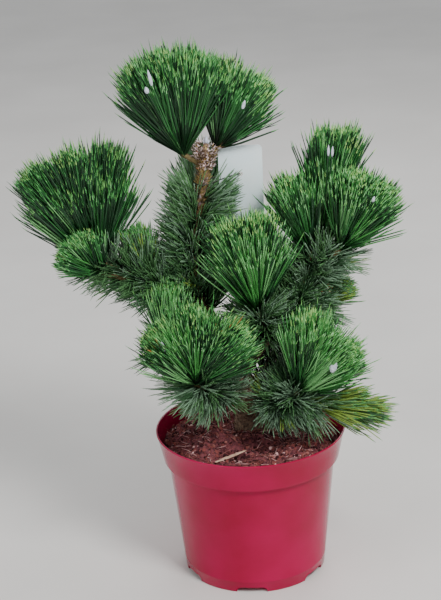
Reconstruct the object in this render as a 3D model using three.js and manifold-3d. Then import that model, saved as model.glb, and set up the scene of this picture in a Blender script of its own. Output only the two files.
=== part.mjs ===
// A young dwarf pine in a glossy red nursery pot, with its soil and a bare white tag.
// Millimetres, +Z up. The origin is the centre of the pot's underside, the plant's front
// faces -Y and +X is on its right.

import * as THREE from 'three';
import { mergeVertices } from 'three/addons/utils/BufferGeometryUtils.js';
import Module from 'manifold-3d';

const wasm = await Module();
wasm.setup();

// Clearances between pieces
const GAP = 0.3;                // where one piece rests on another
const SPRAY_GAP = 0.5;          // round everything that a spray of needles must not touch

// Pot: a 7.5 litre nursery pot, 260 across the rim
const RIM_RADIUS = 130;
const BAND_LIP_RADIUS = 120.7;
const BODY_TOP_RADIUS = 114.8;
const FOOT_RADIUS = 97.4;
const POT_HEIGHT = 206;
const BAND_HEIGHT = 41;
const WALL = 2.2;
const FLOOR = 3;
const NOTCH_COUNT = 6;
const NOTCH_WIDTH = 42;
const NOTCH_HEIGHT = 8;
const NOTCH_CORNER = 8;
const NOTCH_DEPTH = 30;          // from inside the wall outwards
const NOTCH_FIRST_TURN = -4.7;  // degrees from the front towards +X

// Soil: loose peat, some way below the rim, level where the trunk stands
const SOIL_TOP = 186;
const SOIL_BUMP = 5;
const SOIL_SEAT_RADIUS = 30;

// Trunk: its centre line from the soil past the top forks to its tip, with radii evenly along it
const TRUNK_LINE = [
  [-2, 36, SOIL_TOP - 10], [-3, 33, 205], [-4, 20, 250], [-16, 11, 300], [-45, 8, 352],
  [-64, 6, 412], [-64, 6, 470], [-54, 7, 530], [-46, 9, 584], [-43, 9, 608],
];
const TRUNK_RADII = [21, 16, 13, 11.5, 10.5, 9.5, 8.5, 8, 7.5, 5];

const LIMB_SIDES = 7;

// Needles: this year's stand in tufts, last year's hang along the stems below them
const OLD_NEEDLE = 56;
const SPRAY_THICKNESS = 2.4;
const NEW_SPRAY = { fan: 52, teeth: 4 };    // degrees across, and the needles in it
const OLD_SPRAY = { fan: 34, teeth: 3 };
const SPRAY_BEND = 0.1;         // how far a spray's points bend, as a share of its length
const GOLDEN_TURN = 137.5;

const RED_PLASTIC = new THREE.MeshStandardMaterial({ color: 0xa3112c, roughness: 0.22, metalness: 0 });
const PEAT = new THREE.MeshStandardMaterial({ color: 0x4a2620, roughness: 0.95, metalness: 0 });
const BARK = new THREE.MeshStandardMaterial({ color: 0x5a4438, roughness: 0.9, metalness: 0 });
const GREEN_NEEDLE = new THREE.MeshStandardMaterial({ color: 0x4f9a45, roughness: 0.5, metalness: 0 });
const DARK_NEEDLE = new THREE.MeshStandardMaterial({ color: 0x24513a, roughness: 0.55, metalness: 0 });
const WHITE_PLASTIC = new THREE.MeshStandardMaterial({ color: 0xe9eef2, roughness: 0.4, metalness: 0 });
const TIE_PLASTIC = new THREE.MeshStandardMaterial({ color: 0x2b2f24, roughness: 0.6, metalness: 0 });

const pine = new THREE.Group();

const vector = (point) => new THREE.Vector3(...point);
const radians = THREE.MathUtils.degToRad;
const lerp = THREE.MathUtils.lerp;

// A repeatable run of numbers from 0 to 1.
function randomRun(seed) {
  let state = seed;
  return () => {
    state = (state * 1664525 + 1013904223) % 4294967296;
    return state / 4294967296;
  };
}

// A closed geometry as a solid that can be joined and cut.
function solid(geometry) {
  geometry.deleteAttribute('normal');
  geometry.deleteAttribute('uv');
  const welded = mergeVertices(geometry, 1e-3);
  const corners = welded.index.array;
  const faces = [];
  for (let i = 0; i < corners.length; i += 3) {
    const [a, b, c] = corners.slice(i, i + 3);
    if (a !== b && b !== c && c !== a) faces.push(a, b, c);
  }
  return new wasm.Manifold(new wasm.Mesh({
    numProp: 3,
    vertProperties: welded.attributes.position.array,
    triVerts: Uint32Array.from(faces),
  }));
}

// The largest of a solid's separate pieces, without the scraps that a cut leaves.
function largestPiece(body) {
  return body.decompose().reduce((best, piece) => (piece.volume() > best.volume() ? piece : best));
}

function addNode(name, body, material) {
  const { vertProperties, triVerts } = body.getMesh();
  const geometry = new THREE.BufferGeometry();
  geometry.setAttribute('position', new THREE.BufferAttribute(Float32Array.from(vertProperties), 3));
  geometry.setIndex(new THREE.BufferAttribute(Uint32Array.from(triVerts), 1));
  geometry.computeVertexNormals();
  const mesh = new THREE.Mesh(geometry, material);
  mesh.name = name;
  pine.add(mesh);
}

// The radius of a limb at a share of its length, from radii evenly spaced along it.
function radiusAt(radii, share) {
  const along = share * (radii.length - 1);
  const low = Math.min(Math.floor(along), radii.length - 2);
  return lerp(radii[low], radii[low + 1], along - low);
}

// A tapering limb: the rings of a closed cylinder laid along a smooth line through the points.
// grow makes it stouter and longer all round, for cutting a neighbour clear of it.
function limb(points, radii, grow = 0, sides = LIMB_SIDES) {
  const curve = new THREE.CatmullRomCurve3(points.map(vector));
  const steps = points.length > 2 ? (points.length - 1) * 2 : radii.length - 1;
  const { tangents, normals, binormals } = curve.computeFrenetFrames(steps);
  const geometry = new THREE.CylinderGeometry(1, 1, 1, sides, steps);
  const place = geometry.attributes.position;
  for (let i = 0; i < place.count; i += 1) {
    const step = Math.round((place.getY(i) + 0.5) * steps);
    const radius = radiusAt(radii, step / steps) + grow;
    const push = step === 0 ? -grow : step === steps ? grow : 0;
    const point = curve.getPointAt(step / steps)
      .addScaledVector(tangents[step], push)
      .addScaledVector(binormals[step], place.getX(i) * radius)
      .addScaledVector(normals[step], place.getZ(i) * radius);
    place.setXYZ(i, point.x, point.y, point.z);
  }
  return solid(geometry);
}

// A spray of needles: a thin double pyramid whose rim has one point for each needle and a
// notch between each two. It runs from root along heading, and its points bend towards lift.
function spray(root, heading, lift, length, { fan, teeth }, bend, random) {
  const along = heading.clone().normalize();
  const side = new THREE.Vector3().crossVectors(along, lift).normalize();
  const normal = new THREE.Vector3().crossVectors(side, along);
  const baseHalfWidth = 0.05 * length;
  const rim = [[-baseHalfWidth, 0, 0], [baseHalfWidth, 0, 0]];
  for (let k = 0; k < 2 * teeth - 1; k += 1) {
    const turn = radians(fan * (0.5 - k / (2 * teeth - 2)));
    const reach = length * (k % 2 ? 0.66 : 0.9 + 0.1 * random());
    rim.push([reach * Math.sin(turn), reach * Math.cos(turn), bend * reach * (reach / length)]);
  }
  const geometry = new THREE.SphereGeometry(1, rim.length, 2);
  const place = geometry.attributes.position;
  for (let i = 0; i < place.count; i += 1) {
    const row = Math.floor(i / (rim.length + 1));
    const ridge = [0, 0.42 * length, bend * 0.2 * length + (1 - row) * SPRAY_THICKNESS / 2];
    const [across, out, up] = row === 1 ? rim[i % (rim.length + 1) % rim.length] : ridge;
    const point = root.clone()
      .addScaledVector(side, across)
      .addScaledVector(along, out)
      .addScaledVector(normal, up);
    place.setXYZ(i, point.x, point.y, point.z);
  }
  return solid(geometry);
}

// Pot: a thin shell turned about Z, with a flat floor, a deep band under the rim and arched
// drain notches round the foot.
const BAND_LIP = POT_HEIGHT - BAND_HEIGHT;
const bodySlope = (BODY_TOP_RADIUS - FOOT_RADIUS) / BAND_LIP;
const innerFloorRadius = FOOT_RADIUS + bodySlope * FLOOR - WALL;
const innerBandRadius = BAND_LIP_RADIUS - WALL;
const innerTopRadius = RIM_RADIUS - WALL;
const potProfile = [
  [0, 0], [FOOT_RADIUS - 1, 0], [FOOT_RADIUS, 1], [BODY_TOP_RADIUS, BAND_LIP + 2],
  [BAND_LIP_RADIUS, BAND_LIP], [BAND_LIP_RADIUS + 0.6, BAND_LIP + 3],
  [RIM_RADIUS - 1, POT_HEIGHT - 2], [RIM_RADIUS, POT_HEIGHT - 0.8], [RIM_RADIUS - 0.4, POT_HEIGHT],
  [innerTopRadius, POT_HEIGHT], [innerBandRadius, BAND_LIP + 6],
  [BODY_TOP_RADIUS - WALL, BAND_LIP - 2], [innerFloorRadius, FLOOR], [0, FLOOR],
];
const POT_SIDES = 32;

// A closed profile of [radius, height] pairs turned about Z.
function turned(profile, sides) {
  const points = profile.map(([radius, height]) => new THREE.Vector2(radius, height));
  return solid(new THREE.LatheGeometry(points, sides).rotateX(Math.PI / 2));
}

// One arched notch, cut through the foot at its turn from the front.
function notch(turn) {
  const arch = new THREE.Shape();
  const half = NOTCH_WIDTH / 2;
  arch.moveTo(-half, -1);
  arch.lineTo(half, -1);
  arch.lineTo(half, 1);
  arch.quadraticCurveTo(half, NOTCH_HEIGHT, half - NOTCH_CORNER, NOTCH_HEIGHT);
  arch.lineTo(NOTCH_CORNER - half, NOTCH_HEIGHT);
  arch.quadraticCurveTo(-half, NOTCH_HEIGHT, -half, 1);
  const inset = 9;
  const block = new THREE.ExtrudeGeometry(arch, { depth: NOTCH_DEPTH, bevelEnabled: false, curveSegments: 3 });
  block.rotateX(Math.PI / 2);
  block.translate(0, inset - FOOT_RADIUS, 0);
  block.rotateZ(radians(turn));
  return solid(block);
}

let pot = turned(potProfile, POT_SIDES);
for (let i = 0; i < NOTCH_COUNT; i += 1) {
  pot = pot.subtract(notch(NOTCH_FIRST_TURN + (360 * i) / NOTCH_COUNT));
}
addNode('pot', pot, RED_PLASTIC);

// Soil: it fills the pot from the floor to an uneven top that is level round the trunk.
const SOIL_INSET = 1.2;
const [trunkX, trunkY] = TRUNK_LINE[0];
const soilProfile = [
  [0, FLOOR + GAP], [innerFloorRadius - SOIL_INSET, FLOOR + GAP],
  [BODY_TOP_RADIUS - WALL - SOIL_INSET, BAND_LIP], [innerBandRadius - SOIL_INSET, BAND_LIP + 9],
  [100, SOIL_TOP], [76, SOIL_TOP], [50, SOIL_TOP], [25, SOIL_TOP], [0, SOIL_TOP],
];
const soilPoints = soilProfile.map(([radius, height]) => new THREE.Vector2(radius, height));
const soilShape = new THREE.LatheGeometry(soilPoints, POT_SIDES / 2).rotateX(Math.PI / 2);
const soilPlace = soilShape.attributes.position;
for (let i = 0; i < soilPlace.count; i += 1) {
  const x = soilPlace.getX(i);
  const y = soilPlace.getY(i);
  const fromTrunk = Math.hypot(x - trunkX, y - trunkY);
  if (soilPlace.getZ(i) > SOIL_TOP - 1 && fromTrunk > SOIL_SEAT_RADIUS) {
    const wave = Math.sin(x / 17 + 1.3) * Math.cos(y / 21 - 0.6) + 0.5 * Math.sin((x + y) / 9);
    soilPlace.setZ(i, SOIL_TOP + SOIL_BUMP * wave);
  }
}
const seat = new THREE.CylinderGeometry(SOIL_SEAT_RADIUS, SOIL_SEAT_RADIUS, 40, 16).rotateX(Math.PI / 2);
const soil = solid(soilShape).subtract(solid(seat.translate(trunkX, trunkY, SOIL_TOP + 20)));
addNode('soil', soil, PEAT);

// Trunk: one leaning stem with its root flare, cut level just above the soil and whole up to
// its tip between the top tufts.
const belowCut = solid(new THREE.BoxGeometry(200, 200, 60).translate(trunkX, trunkY, SOIL_TOP + GAP - 30));
const trunkLimb = (grow) => limb(TRUNK_LINE, TRUNK_RADII, grow, 10);
const trunk = trunkLimb(0).subtract(belowCut);
addNode('trunk', trunk, BARK);

// Boughs: each starts inside the limb that bears it and is then cut clear of that limb.
const BOUGHS = [
  { name: 'bough_left', line: [[-62, 6, 372], [-84, 5, 396], [-110, 4, 414]], radii: [7.5, 6, 5] },
  { name: 'bough_left_low', line: [[-30, 10, 318], [-66, -4, 322], [-95, -16, 334]], radii: [7, 5.5, 4.5] },
  { name: 'bough_front_left', line: [[-6, 16, 244], [-34, -16, 262], [-58, -46, 284]], radii: [8, 6.5, 5.5] },
  { name: 'bough_right', line: [[-10, 14, 276], [22, 4, 326], [56, 4, 364], [86, 8, 416]], radii: [9, 8, 7, 5.5] },
  { name: 'bough_front_right', line: [[-3, 24, 226], [28, -6, 244], [54, -32, 258]], radii: [8, 6.5, 5.5] },
  { name: 'bough_back_left', line: [[-6, 20, 258], [-42, 48, 280], [-70, 72, 300]], radii: [7, 5.5, 4.5] },
  { name: 'bough_back_right', line: [[-4, 22, 240], [34, 52, 282], [64, 74, 318]], radii: [7.5, 6, 5] },
  { name: 'bough_back_high', line: [[-65, 6, 438], [-56, 36, 452], [-46, 58, 474]], radii: [6, 5, 4.5] },
  { name: 'bough_centre', parent: 'bough_right', line: [[18, 5, 322], [24, -8, 346], [24, -18, 362]], radii: [6.5, 5.5, 5] },
  { name: 'bough_right_side', parent: 'bough_right', line: [[56, 4, 364], [68, 7, 372], [82, 10, 374]], radii: [5, 4.5, 4] },
];
const limbs = { trunk };
for (const bough of BOUGHS) {
  let body = limb(bough.line, bough.radii).subtract(trunkLimb(GAP));
  if (bough.parent) {
    const parent = BOUGHS.find((other) => other.name === bough.parent);
    body = body.subtract(limb(parent.line, parent.radii, GAP));
  }
  limbs[bough.name] = largestPiece(body);
  addNode(bough.name, limbs[bough.name], BARK);
}

// Tag: a bare white plate that hangs beside the leader from a tie through its hole.
const TAG_WIDTH = 58;
const TAG_HEIGHT = 126;
const TAG_THICKNESS = 0.8;
const TAG_CENTRE = [1, 22, 536];
const TAG_HOLE_RADIUS = 3.2;
const TAG_HOLE_HEIGHT = 24;      // above the plate's centre
const TIE_RADIUS = 0.9;
const tagOutline = new THREE.Shape();
const tagHalf = TAG_WIDTH / 2;
const tagTop = TAG_HEIGHT / 2;
const TAG_CORNER = 6;
tagOutline.moveTo(-tagHalf, -tagTop);
tagOutline.lineTo(tagHalf, -tagTop);
tagOutline.lineTo(tagHalf, tagTop - TAG_CORNER);
tagOutline.absarc(tagHalf - TAG_CORNER, tagTop - TAG_CORNER, TAG_CORNER, 0, Math.PI / 2);
tagOutline.absarc(TAG_CORNER - tagHalf, tagTop - TAG_CORNER, TAG_CORNER, Math.PI / 2, Math.PI);
const tagHole = new THREE.Path();
tagHole.absarc(0, TAG_HOLE_HEIGHT, TAG_HOLE_RADIUS, 0, 2 * Math.PI, true);
tagOutline.holes.push(tagHole);
const tagShape = new THREE.ExtrudeGeometry(tagOutline, {
  depth: TAG_THICKNESS, bevelEnabled: false, curveSegments: 5,
});
tagShape.translate(0, 0, -TAG_THICKNESS / 2).rotateX(Math.PI / 2).translate(...TAG_CENTRE);
const tag = solid(tagShape);
addNode('tag', tag, WHITE_PLASTIC);

// The tie is a closed loop round the leader and through the hole: a ring whose sections are
// laid along the loop.
const leader = new THREE.CatmullRomCurve3(TRUNK_LINE.map(vector));
const TIE_TURN = 0.88;           // how far up the trunk the tie goes round it
const tieRound = leader.getPointAt(TIE_TURN);
const tieReach = radiusAt(TRUNK_RADII, TIE_TURN) + TIE_RADIUS + GAP + 0.1;
const holeX = TAG_CENTRE[0] - TAG_HOLE_RADIUS / 6;
const holeZ = TAG_CENTRE[2] + TAG_HOLE_HEIGHT;
const tieLine = [225, 190, 155, 120].map((turn) => [
  tieRound.x + 1.04 * tieReach * Math.cos(radians(turn)),
  tieRound.y + 1.04 * tieReach * Math.sin(radians(turn)),
  tieRound.z,
]);
tieLine.push(
  [tieRound.x + 2, tieRound.y + tieReach + 2, tieRound.z - 1],
  [tieRound.x + 22, TAG_CENTRE[1] + 4, lerp(tieRound.z, holeZ, 0.5)],
  [holeX - 6, TAG_CENTRE[1] + 3, holeZ + 1],
  [holeX, TAG_CENTRE[1], holeZ],
  [holeX - 6, TAG_CENTRE[1] - 4, holeZ + 1],
  [tieRound.x + 20, tieRound.y - 1, lerp(tieRound.z, holeZ, 0.4)],
  [tieRound.x, tieRound.y - tieReach - 0.8, tieRound.z - 1],
);
const TIE_STEPS = 32;
const TIE_SIDES = 4;
const tieCurve = new THREE.CatmullRomCurve3(tieLine.map(vector), true);
const tieShape = new THREE.TorusGeometry(10, 1, TIE_SIDES, TIE_STEPS);
const tiePlace = tieShape.attributes.position;
const upward = new THREE.Vector3(0, 0, 1);
for (let i = 0; i < tiePlace.count; i += 1) {
  const step = i % (TIE_STEPS + 1) % TIE_STEPS;
  const section = (Math.floor(i / (TIE_STEPS + 1)) % TIE_SIDES) * 2 * Math.PI / TIE_SIDES;
  const out = new THREE.Vector3().crossVectors(tieCurve.getTangentAt(step / TIE_STEPS), upward).normalize();
  const point = tieCurve.getPointAt(step / TIE_STEPS)
    .addScaledVector(out, TIE_RADIUS * Math.cos(section))
    .addScaledVector(upward, TIE_RADIUS * Math.sin(section));
  tiePlace.setXYZ(i, point.x, point.y, point.z);
}
const tie = solid(tieShape);
addNode('tag_tie', tie, TIE_PLASTIC);

// Foliage: each mass has a stem from its foot, next to a bough's tip or the trunk, to a fork,
// and shoots from there to their tips. All its needles end on one dome round the fork, reach
// high. needle is the longest needle, and old sprays of last year's stand out of the stem.
const MASSES = [
  { name: 'foliage_top_left', foot: [-48, 8, 578], fork: [-73, 2, 596], reach: 141, needle: 116, old: 0,
    tips: [[-118, 4, 678], [-90, -10, 686], [-52, 6, 682], [-86, 36, 674]] },
  { name: 'foliage_top_right', foot: [-44, 10, 579], fork: [-30, 16, 598], reach: 120, needle: 92, old: 0,
    tips: [[12, 6, 652], [-22, 26, 664]] },
  { name: 'foliage_left', foot: [-108, 4, 413], fork: [-194, 0, 455], reach: 164, needle: 110, old: 9,
    tips: [[-250, -6, 532], [-212, -14, 556], [-172, 22, 546]] },
  { name: 'foliage_left_inner', foot: [-108, 5, 413], fork: [-128, 10, 430], reach: 74, needle: 62, old: 7,
    tips: [[-136, 6, 466]] },
  { name: 'foliage_left_front', foot: [-106, -2, 410], fork: [-188, -22, 447], reach: 68, needle: 82, old: 0,
    tips: [[-224, -34, 468], [-200, -32, 486]] },
  { name: 'foliage_left_low', foot: [-92, -15, 333], fork: [-106, -22, 340], reach: 94, needle: 84, old: 5,
    tips: [[-104, -30, 388]] },
  { name: 'foliage_front_left', foot: [-56, -44, 282], fork: [-72, -58, 298], reach: 122, needle: 96, old: 8,
    tips: [[-116, -88, 358], [-72, -76, 374], [-18, -78, 352]] },
  { name: 'foliage_centre', foot: [24, -16, 358], fork: [15, -22, 382], reach: 148, needle: 108, old: 8,
    tips: [[-12, -46, 472], [22, -40, 476]] },
  { name: 'foliage_right_top', foot: [84, 8, 412], fork: [106, 20, 458], reach: 162, needle: 98, old: 6,
    tips: [[112, 20, 570], [134, 32, 552]] },
  { name: 'foliage_right_inner', foot: [83, 7, 412], fork: [88, 0, 456], reach: 116, needle: 92, old: 6,
    tips: [[66, -12, 528]] },
  { name: 'foliage_right_outer', foot: [86, 6, 412], fork: [128, -2, 458], reach: 120, needle: 98, old: 8,
    tips: [[176, -24, 522], [142, -22, 530]] },
  { name: 'foliage_right_side', foot: [80, 10, 374], fork: [96, 11, 378], reach: 58, needle: 54, old: 5,
    tips: [[118, 8, 390]] },
  { name: 'foliage_front_right', foot: [52, -30, 257], fork: [67, -42, 273], reach: 126, needle: 102, old: 8,
    tips: [[120, -80, 326], [74, -52, 344]] },
  { name: 'foliage_low_right', foot: [53, -30, 256], fork: [90, -34, 250], reach: 104, needle: 72, old: 8,
    tips: [[132, -46, 246]] },
  { name: 'foliage_back_left', foot: [-68, 70, 298], fork: [-80, 84, 312], reach: 128, needle: 92, old: 6,
    tips: [[-98, 98, 376]] },
  { name: 'foliage_back_right', foot: [62, 72, 316], fork: [72, 84, 330], reach: 132, needle: 96, old: 6,
    tips: [[92, 102, 396]] },
  { name: 'foliage_back_high', foot: [-47, 57, 472], fork: [-42, 68, 486], reach: 106, needle: 80, old: 5,
    tips: [[-46, 86, 538]] },
];
const DOME_WIDTH = 0.82;        // the dome's half width, as a share of its reach
const CORE_TOP = 0.8;           // where the core round a shoot ends, on its way to the dome
const CORE_RADII = [0.06, 0.16, 0.26, 0.28, 0.14];   // its radius there and below, as shares of the reach
const LEAFY_STEM_RADII = [4.5, 12, 11, 6];      // a stem with last year's needles round it
const BARE_STEM_RADII = [4.5, 6, 6, 5];
const SHOOT_A_SPRAY = 22;       // a shoot has a spray for each so many mm of its length
const SPRAY_START = 0.15;       // where a spray begins, in its own lengths from the shoot
const WIDEST = 30;              // degrees from the shoot to its lowest spray
const NARROWEST = 10;           // and to its highest
const UPRIGHT = 0.3;            // how far every spray is drawn towards the middle of its mass
const DEPTH = [1, 0.62, 1];     // the tufts are flatter from front to back than from side to side
const OLD_RISE = [1, 1, 0.6];   // old needles stand out more level than square to their stem
const FRESH_NEEDLE = 80;        // masses of longer needles are this year's, the others last year's
const SPRAY_ROLL = 38;          // degrees that each spray is turned about itself

// The direction of a mass's dome: from the fork to the middle of its tips.
function middleOf(mass) {
  const middle = new THREE.Vector3();
  for (const tip of mass.tips) middle.add(vector(tip));
  return middle.divideScalar(mass.tips.length).sub(vector(mass.fork)).normalize();
}

// How far from start, measured from the fork, a heading meets the dome of a mass: an ellipsoid
// is a sphere once all that lies across its middle is stretched by 1 / DOME_WIDTH.
function toDome(mass, start, heading) {
  const middle = middleOf(mass);
  const stretch = (way) => {
    const along = middle.clone().multiplyScalar(way.dot(middle));
    return way.clone().sub(along).divideScalar(DOME_WIDTH).add(along);
  };
  const from = stretch(start);
  const way = stretch(heading);
  const b = from.dot(way);
  return (Math.sqrt(b * b - way.lengthSq() * (from.lengthSq() - mass.reach ** 2)) - b) / way.lengthSq();
}

// The dense inside of a mass: its stem and the core round each shoot.
function massCore(mass, grow) {
  const stemRadii = mass.old ? LEAFY_STEM_RADII : BARE_STEM_RADII;
  const fork = vector(mass.fork);
  let body = limb([mass.foot, mass.fork], stemRadii, grow, 6);
  for (const tip of mass.tips) {
    const direction = vector(tip).sub(fork).normalize();
    const top = fork.clone().addScaledVector(direction, CORE_TOP * toDome(mass, new THREE.Vector3(), direction));
    const radii = CORE_RADII.map((share) => share * mass.reach);
    body = body.add(limb([mass.fork, top.toArray()], radii, grow, 6));
  }
  return body;
}

// The sprays of a mass: this year's wind round each shoot, most of them from its lower half,
// wide at its root and narrow at its tip, and last year's wind round the stem and arch up.
function* massSprays(mass, random) {
  const foot = vector(mass.foot);
  const fork = vector(mass.fork);
  const middle = middleOf(mass);
  for (const tip of mass.tips) {
    const shoot = vector(tip).sub(fork);
    const direction = shoot.clone().normalize();
    const across = new THREE.Vector3(0.3, 1, 0.2).cross(direction).normalize();
    const sprays = Math.max(4, Math.round(shoot.length() / SHOOT_A_SPRAY));
    for (let k = 0; k < sprays; k += 1) {
      const up = (k + 0.5) / sprays;
      const out = across.clone().applyAxisAngle(direction, radians(k * GOLDEN_TURN));
      const angle = radians(lerp(WIDEST, NARROWEST, up));
      const heading = out.clone().multiply(vector(DEPTH)).multiplyScalar(Math.sin(angle))
        .addScaledVector(direction, Math.cos(angle)).normalize().addScaledVector(middle, UPRIGHT).normalize();
      const roll = radians(k % 2 ? SPRAY_ROLL : -SPRAY_ROLL);
      const lift = direction.clone().addScaledVector(out, -0.5).applyAxisAngle(heading, roll);
      const start = shoot.clone().multiplyScalar(up * up);
      const length = Math.min(mass.needle, toDome(mass, start, heading)) * lerp(0.96, 1.02, random());
      start.add(fork).addScaledVector(heading, SPRAY_START * length);
      yield spray(start, heading, lift, length * (1 - SPRAY_START), NEW_SPRAY, SPRAY_BEND, random);
    }
  }
  const direction = fork.clone().sub(foot).normalize();
  const across = new THREE.Vector3(0.3, 1, 0.2).cross(direction).normalize();
  for (let k = 0; k < mass.old; k += 1) {
    const out = across.clone().applyAxisAngle(direction, radians(k * GOLDEN_TURN));
    const heading = out.clone().multiply(vector(OLD_RISE)).addScaledVector(direction, lerp(0.2, 0.8, random()));
    const root = foot.clone().lerp(fork, lerp(0.25, 0.9, (k + 0.5) / mass.old));
    yield spray(root, heading, upward, OLD_NEEDLE * lerp(0.85, 1.1, random()), OLD_SPRAY, SPRAY_BEND, random);
  }
}

// A sleeve of last year's needles round a limb, between two shares of its length: a core cut
// clear of the limb, with sprays that wind up it.
const SLEEVES = [
  { name: 'foliage_leader', line: TRUNK_LINE, from: 0.47, to: 0.85, radii: [11, 15, 17, 18, 18, 11], sprays: 24 },
  { name: 'foliage_right_sleeve', line: BOUGHS.find((bough) => bough.name === 'bough_right').line,
    from: 0.42, to: 0.86, radii: [10, 14, 14, 9], sprays: 11 },
];
const SLEEVE_RISE = 0.62;       // how far its sprays lean along the limb, for 1 outwards
const SLEEVE_ROOT = 11;         // how far from the limb's centre line they begin
function sleeveCore(sleeve, grow) {
  const curve = new THREE.CatmullRomCurve3(sleeve.line.map(vector));
  const line = [0, 0.33, 0.67, 1].map((share) => curve.getPointAt(lerp(sleeve.from, sleeve.to, share)).toArray());
  return limb(line, sleeve.radii, grow, 8);
}
function* sleeveSprays(sleeve, random) {
  const curve = new THREE.CatmullRomCurve3(sleeve.line.map(vector));
  for (let k = 0; k < sleeve.sprays; k += 1) {
    const share = lerp(sleeve.from + 0.01, sleeve.to - 0.01, (k + 0.5) / sleeve.sprays);
    const direction = curve.getTangentAt(share);
    const across = new THREE.Vector3(0, 1, 0).cross(direction).normalize();
    const out = across.applyAxisAngle(direction, radians(k * GOLDEN_TURN));
    const heading = out.clone().addScaledVector(direction, SLEEVE_RISE);
    const root = curve.getPointAt(share).addScaledVector(out, SLEEVE_ROOT);
    yield spray(root, heading, direction, OLD_NEEDLE * lerp(0.85, 1.05, random()), OLD_SPRAY, -SPRAY_BEND, random);
  }
}

// Cores first: each is cut clear of the limbs, the tag and the cores before it.
const foliage = MASSES.map((mass, i) => ({
  name: mass.name,
  material: mass.needle > FRESH_NEEDLE ? GREEN_NEEDLE : DARK_NEEDLE,
  core: (grow) => massCore(mass, grow),
  sprays: massSprays(mass, randomRun(101 + i)),
}));
SLEEVES.forEach((sleeve, i) => foliage.push({
  name: sleeve.name,
  material: DARK_NEEDLE,
  core: (grow) => sleeveCore(sleeve, grow),
  sprays: sleeveSprays(sleeve, randomRun(90 + i)),
}));
const grownLimbs = [trunkLimb(GAP), ...BOUGHS.map((bough) => limb(bough.line, bough.radii, GAP))];
for (const mass of foliage) {
  mass.body = mass.core(0);
  for (const other of [...grownLimbs, tag, tie]) mass.body = mass.body.subtract(other);
  for (const earlier of foliage.slice(0, foliage.indexOf(mass))) {
    mass.body = mass.body.subtract(earlier.core(GAP + SPRAY_GAP));
  }
  mass.body = largestPiece(mass.body);
}

// Then the sprays, in turn: one that would touch a limb, the pot or another mass is skipped.
function meets(a, b) {
  const p = a.boundingBox();
  const q = b.boundingBox();
  const apart = [0, 1, 2].some((i) => p.min[i] > q.max[i] + SPRAY_GAP || q.min[i] > p.max[i] + SPRAY_GAP);
  return !apart && a.minGap(b, SPRAY_GAP) < SPRAY_GAP;
}
const obstacles = [pot, soil, tag, tie, ...Object.values(limbs)];
for (const mass of foliage) {
  const others = [...obstacles, ...foliage.filter((other) => other !== mass).map((other) => other.body)];
  for (const candidate of mass.sprays) {
    if (!others.some((other) => meets(candidate, other))) mass.body = mass.body.add(candidate);
  }
  mass.body = largestPiece(mass.body);
  addNode(mass.name, mass.body, mass.material);
}

export default pine;
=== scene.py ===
# A young dwarf pine in a glossy red nursery pot, with its soil and a bare white tag, dressed
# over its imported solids. Sizes are in millimetres until fill_mesh makes them metres.
import bpy
import numpy as np
from mathutils import Matrix


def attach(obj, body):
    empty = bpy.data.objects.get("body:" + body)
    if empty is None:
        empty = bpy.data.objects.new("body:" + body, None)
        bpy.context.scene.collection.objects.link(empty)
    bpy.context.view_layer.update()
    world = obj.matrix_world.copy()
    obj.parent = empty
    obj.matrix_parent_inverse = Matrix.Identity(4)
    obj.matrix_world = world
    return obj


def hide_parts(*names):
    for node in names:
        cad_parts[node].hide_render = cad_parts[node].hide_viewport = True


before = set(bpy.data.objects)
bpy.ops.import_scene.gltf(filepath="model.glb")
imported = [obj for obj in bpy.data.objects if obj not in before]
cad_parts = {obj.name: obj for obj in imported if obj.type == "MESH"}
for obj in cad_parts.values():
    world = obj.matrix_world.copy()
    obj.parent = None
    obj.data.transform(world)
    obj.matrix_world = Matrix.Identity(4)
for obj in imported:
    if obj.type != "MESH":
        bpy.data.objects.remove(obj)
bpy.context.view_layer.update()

# Floor, light and camera: the pot stands on a plain pale floor in soft light from the upper
# left. The camera stands 2.27 m in front, looks 21 degrees down and leans a little.
MM = 0.001
FLOOR_SIZE = 30000
CAMERA_AT = (-33.2, -2271.4, 1255.0)
CAMERA_RIGHT = (0.99897, -0.01611, -0.04241)
CAMERA_UP = (0.04536, 0.35474, 0.93386)
CAMERA_FORWARD = (0.0, 0.93483, -0.35511)
CAMERA_LENS = 108.92
SENSOR_WIDTH = 36
LIT_POINT = (0, 0, 330)


def fill_mesh(name, points, faces, finishes, slots=None, smooth=True):
    """A mesh from points in millimetres and a list of face arrays, one row of corners a face."""
    corners = np.concatenate([part.ravel() for part in faces]).astype(np.int32)
    sizes = np.concatenate([np.full(len(part), part.shape[1]) for part in faces])
    starts = np.concatenate([[0], np.cumsum(sizes)[:-1]]).astype(np.int32)
    mesh = bpy.data.meshes.new(name)
    mesh.vertices.add(len(points))
    mesh.vertices.foreach_set("co", (points * MM).astype(np.float32).ravel())
    mesh.loops.add(len(corners))
    mesh.loops.foreach_set("vertex_index", corners)
    mesh.polygons.add(len(starts))
    mesh.polygons.foreach_set("loop_start", starts)
    mesh.polygons.foreach_set("use_smooth", np.full(len(starts), smooth))
    for finish in finishes:
        mesh.materials.append(finish)
    if slots is not None:
        mesh.polygons.foreach_set("material_index", slots.astype(np.int32))
    mesh.update(calc_edges=True)
    mesh.validate()
    piece = bpy.data.objects.new(name, mesh)
    bpy.context.scene.collection.objects.link(piece)
    return piece


def linear(red, green, blue):
    """A screen colour of 0 to 255 as linear light: ((c + 0.055) / 1.055) ^ 2.4."""
    screen = np.array([red, green, blue]) / 255
    return (*(((screen + 0.055) / 1.055) ** 2.4), 1.0)


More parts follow.
